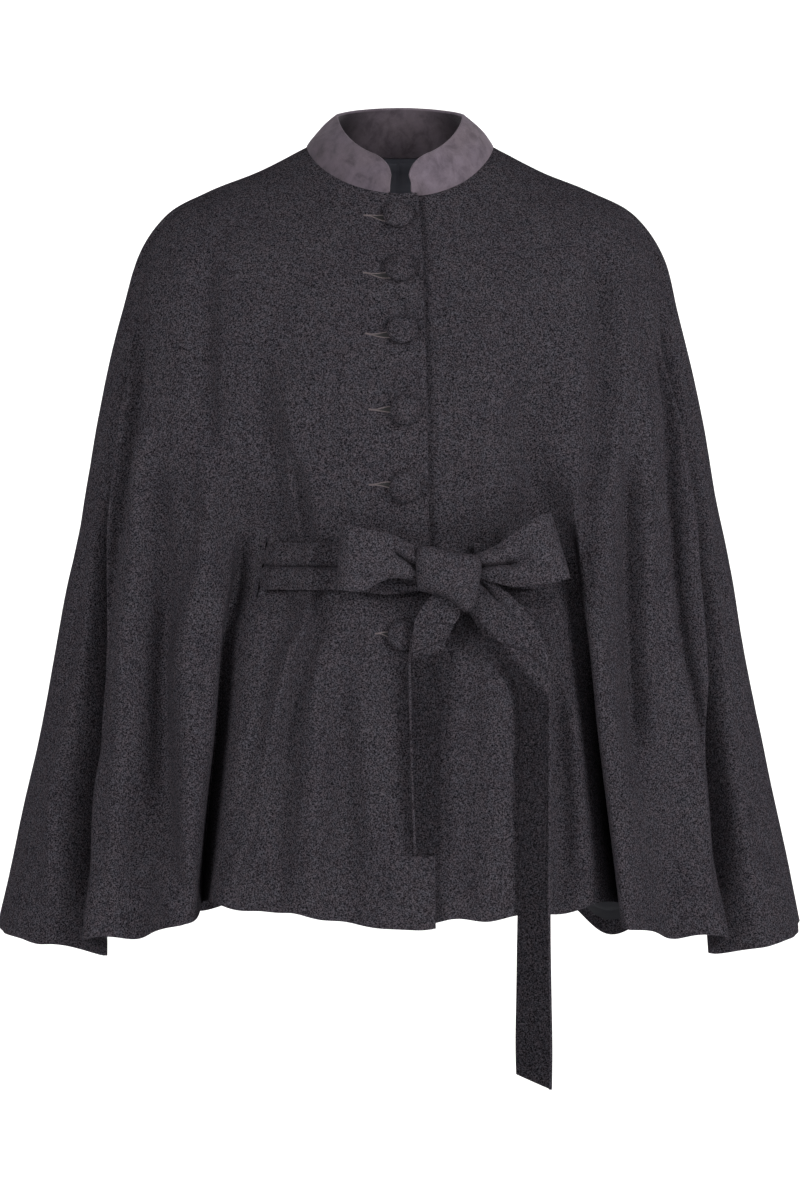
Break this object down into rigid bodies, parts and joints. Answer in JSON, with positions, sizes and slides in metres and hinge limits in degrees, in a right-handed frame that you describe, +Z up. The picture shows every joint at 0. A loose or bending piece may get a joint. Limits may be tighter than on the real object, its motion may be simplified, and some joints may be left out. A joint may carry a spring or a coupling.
{
  "type": "cape coat",
  "caption": "Thigh-length wool cape with a stand collar, a lapped button front and a self belt that passes through front slits and ties in a bow.",
  "frame": {"origin": "middle of the neck, 5 mm below the neck ends of the shoulder lines, where the wearer's shoulders carry the cape", "axes": "+X to the viewer's right (the wearer's left), +Y to the back, +Z up"},
  "size_m": [0.743, 0.3499, 0.8953],
  "materials": {
    "wool": "napped melange wool coating",
    "suede": "short-napped suede cloth",
    "lining": "satin lining"
  },
  "bodies": {
    "root": {"right_front": "wool", "left_front": "wool", "back": "wool", "back_lining": "lining", "collar": "suede", "button_1": "wool", "button_2": "wool", "button_3": "wool", "button_4": "wool", "button_5": "wool", "button_6": "wool", "belt_right": "wool", "belt_left": "wool", "belt_back": "wool", "bow_loop_right": "wool", "bow_loop_left": "wool", "bow_knot": "wool", "belt_tail_short": "wool", "belt_tail_long": "wool"}
  },
  "joints": []
}
